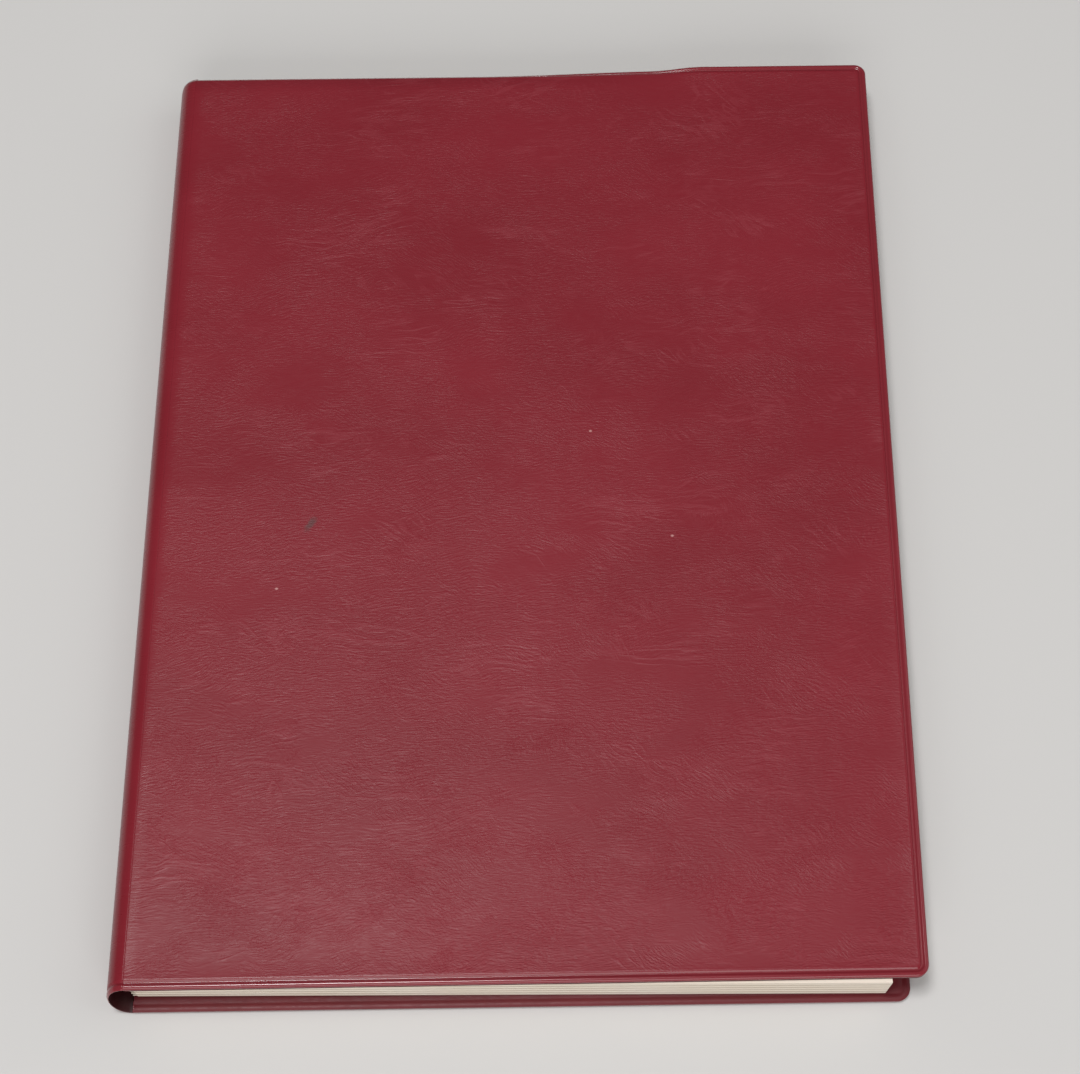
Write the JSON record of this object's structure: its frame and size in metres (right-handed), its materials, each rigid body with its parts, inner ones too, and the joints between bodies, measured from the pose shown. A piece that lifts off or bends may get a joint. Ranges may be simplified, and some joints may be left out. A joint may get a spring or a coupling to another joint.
{
  "type": "coin album",
  "caption": "Closed coin album: welded grained vinyl wrap cover with a hollow spine, thick die-cut card leaves that turn, and clear slides that pull out over rows of coin wells",
  "frame": {"origin": "middle of the closed album's footprint, on the surface that the back cover lies on", "axes": "+X from the spine to the fore edge, +Y from the tail to the head, +Z from the back cover to the front cover"},
  "size_m": [0.196, 0.2632, 0.0158],
  "materials": {
    "cover_vinyl": "fine leather grain, satin",
    "lining_vinyl": "plain satin vinyl",
    "grey_card": "bare grey card",
    "cream_card": "matt cream card",
    "binding_cloth": "cream cloth tape",
    "clear_film": "clear plastic sheet"
  },
  "bodies": {
    "back_cover": {"back_cover_skin": "cover_vinyl", "back_stiffener": "grey_card", "back_end_leaf": "cream_card", "back_pocket": "lining_vinyl", "binding_tape": "binding_cloth"},
    "front_cover": {"front_cover_skin": "cover_vinyl", "front_stiffener": "grey_card", "front_end_leaf": "cream_card", "front_pocket": "lining_vinyl"},
    "spine": {"spine_skin": "cover_vinyl"},
    "leaf_1": {"leaf_1": "cream_card", "leaf_1_back_film": "clear_film"},
    "leaf_2": {"leaf_2": "cream_card", "leaf_2_back_film": "clear_film"},
    "leaf_3": {"leaf_3": "cream_card", "leaf_3_back_film": "clear_film"},
    "leaf_4": {"leaf_4": "cream_card", "leaf_4_back_film": "clear_film"},
    "leaf_5": {"leaf_5": "cream_card", "leaf_5_back_film": "clear_film"},
    "leaf_1_slide_1": {"leaf_1_slide_1": "clear_film"},
    "leaf_1_slide_2": {"leaf_1_slide_2": "clear_film"},
    "leaf_1_slide_3": {"leaf_1_slide_3": "clear_film"},
    "leaf_1_slide_4": {"leaf_1_slide_4": "clear_film"},
    "leaf_2_slide_1": {"leaf_2_slide_1": "clear_film"},
    "leaf_2_slide_2": {"leaf_2_slide_2": "clear_film"},
    "leaf_2_slide_3": {"leaf_2_slide_3": "clear_film"},
    "leaf_2_slide_4": {"leaf_2_slide_4": "clear_film"},
    "leaf_3_slide_1": {"leaf_3_slide_1": "clear_film"},
    "leaf_3_slide_2": {"leaf_3_slide_2": "clear_film"},
    "leaf_3_slide_3": {"leaf_3_slide_3": "clear_film"},
    "leaf_3_slide_4": {"leaf_3_slide_4": "clear_film"},
    "leaf_4_slide_1": {"leaf_4_slide_1": "clear_film"},
    "leaf_4_slide_2": {"leaf_4_slide_2": "clear_film"},
    "leaf_4_slide_3": {"leaf_4_slide_3": "clear_film"},
    "leaf_4_slide_4": {"leaf_4_slide_4": "clear_film"},
    "leaf_5_slide_1": {"leaf_5_slide_1": "clear_film"},
    "leaf_5_slide_2": {"leaf_5_slide_2": "clear_film"},
    "leaf_5_slide_3": {"leaf_5_slide_3": "clear_film"},
    "leaf_5_slide_4": {"leaf_5_slide_4": "clear_film"}
  },
  "joints": [
    {"name": "front_cover_hinge", "type": "hinge", "parent": "back_cover", "child": "front_cover", "pos_m": [-0.096, 0, 0.00791], "axis": [0, -1, 0], "range_deg": [0, 180]},
    {"name": "spine_fold", "type": "hinge", "parent": "back_cover", "child": "spine", "pos_m": [-0.096, 0, 0.00791], "axis": [0, -1, 0], "range_deg": [0, 90], "deforming": ["spine_skin"]},
    {"name": "leaf_1_turn", "type": "hinge", "parent": "back_cover", "child": "leaf_1", "pos_m": [-0.094, 0, 0.00791], "axis": [0, -1, 0], "range_deg": [0, 150], "deforming": ["binding_tape"]},
    {"name": "leaf_2_turn", "type": "hinge", "parent": "back_cover", "child": "leaf_2", "pos_m": [-0.094, 0, 0.00791], "axis": [0, -1, 0], "range_deg": [0, 120]},
    {"name": "leaf_3_turn", "type": "hinge", "parent": "back_cover", "child": "leaf_3", "pos_m": [-0.094, 0, 0.00791], "axis": [0, -1, 0], "range_deg": [0, 90]},
    {"name": "leaf_4_turn", "type": "hinge", "parent": "back_cover", "child": "leaf_4", "pos_m": [-0.094, 0, 0.00791], "axis": [0, -1, 0], "range_deg": [0, 60]},
    {"name": "leaf_5_turn", "type": "hinge", "parent": "back_cover", "child": "leaf_5", "pos_m": [-0.094, 0, 0.00791], "axis": [0, -1, 0], "range_deg": [0, 30]},
    {"name": "leaf_1_slide_1_pull", "type": "slide", "parent": "leaf_1", "child": "leaf_1_slide_1", "axis": [-1, 0, 0], "range_m": [-0.15, 0]},
    {"name": "leaf_1_slide_2_pull", "type": "slide", "parent": "leaf_1", "child": "leaf_1_slide_2", "axis": [-1, 0, 0], "range_m": [-0.15, 0]},
    {"name": "leaf_1_slide_3_pull", "type": "slide", "parent": "leaf_1", "child": "leaf_1_slide_3", "axis": [-1, 0, 0], "range_m": [-0.15, 0]},
    {"name": "leaf_1_slide_4_pull", "type": "slide", "parent": "leaf_1", "child": "leaf_1_slide_4", "axis": [-1, 0, 0], "range_m": [-0.15, 0]},
    {"name": "leaf_2_slide_1_pull", "type": "slide", "parent": "leaf_2", "child": "leaf_2_slide_1", "axis": [-1, 0, 0], "range_m": [-0.15, 0]},
    {"name": "leaf_2_slide_2_pull", "type": "slide", "parent": "leaf_2", "child": "leaf_2_slide_2", "axis": [-1, 0, 0], "range_m": [-0.15, 0]},
    {"name": "leaf_2_slide_3_pull", "type": "slide", "parent": "leaf_2", "child": "leaf_2_slide_3", "axis": [-1, 0, 0], "range_m": [-0.15, 0]},
    {"name": "leaf_2_slide_4_pull", "type": "slide", "parent": "leaf_2", "child": "leaf_2_slide_4", "axis": [-1, 0, 0], "range_m": [-0.15, 0]},
    {"name": "leaf_3_slide_1_pull", "type": "slide", "parent": "leaf_3", "child": "leaf_3_slide_1", "axis": [-1, 0, 0], "range_m": [-0.15, 0]},
    {"name": "leaf_3_slide_2_pull", "type": "slide", "parent": "leaf_3", "child": "leaf_3_slide_2", "axis": [-1, 0, 0], "range_m": [-0.15, 0]},
    {"name": "leaf_3_slide_3_pull", "type": "slide", "parent": "leaf_3", "child": "leaf_3_slide_3", "axis": [-1, 0, 0], "range_m": [-0.15, 0]},
    {"name": "leaf_3_slide_4_pull", "type": "slide", "parent": "leaf_3", "child": "leaf_3_slide_4", "axis": [-1, 0, 0], "range_m": [-0.15, 0]},
    {"name": "leaf_4_slide_1_pull", "type": "slide", "parent": "leaf_4", "child": "leaf_4_slide_1", "axis": [-1, 0, 0], "range_m": [-0.15, 0]},
    {"name": "leaf_4_slide_2_pull", "type": "slide", "parent": "leaf_4", "child": "leaf_4_slide_2", "axis": [-1, 0, 0], "range_m": [-0.15, 0]},
    {"name": "leaf_4_slide_3_pull", "type": "slide", "parent": "leaf_4", "child": "leaf_4_slide_3", "axis": [-1, 0, 0], "range_m": [-0.15, 0]},
    {"name": "leaf_4_slide_4_pull", "type": "slide", "parent": "leaf_4", "child": "leaf_4_slide_4", "axis": [-1, 0, 0], "range_m": [-0.15, 0]},
    {"name": "leaf_5_slide_1_pull", "type": "slide", "parent": "leaf_5", "child": "leaf_5_slide_1", "axis": [-1, 0, 0], "range_m": [-0.15, 0]},
    {"name": "leaf_5_slide_2_pull", "type": "slide", "parent": "leaf_5", "child": "leaf_5_slide_2", "axis": [-1, 0, 0], "range_m": [-0.15, 0]},
    {"name": "leaf_5_slide_3_pull", "type": "slide", "parent": "leaf_5", "child": "leaf_5_slide_3", "axis": [-1, 0, 0], "range_m": [-0.15, 0]},
    {"name": "leaf_5_slide_4_pull", "type": "slide", "parent": "leaf_5", "child": "leaf_5_slide_4", "axis": [-1, 0, 0], "range_m": [-0.15, 0]}
  ],
  "couplings": [
    {"joint": "spine_fold", "follows": "front_cover_hinge", "ratio": 0.5},
    {"joint": "leaf_1_turn", "follows": "front_cover_hinge", "ratio": 0.83333},
    {"joint": "leaf_2_turn", "follows": "front_cover_hinge", "ratio": 0.66666},
    {"joint": "leaf_3_turn", "follows": "front_cover_hinge", "ratio": 0.5},
    {"joint": "leaf_4_turn", "follows": "front_cover_hinge", "ratio": 0.33333},
    {"joint": "leaf_5_turn", "follows": "front_cover_hinge", "ratio": 0.16666}
  ]
}
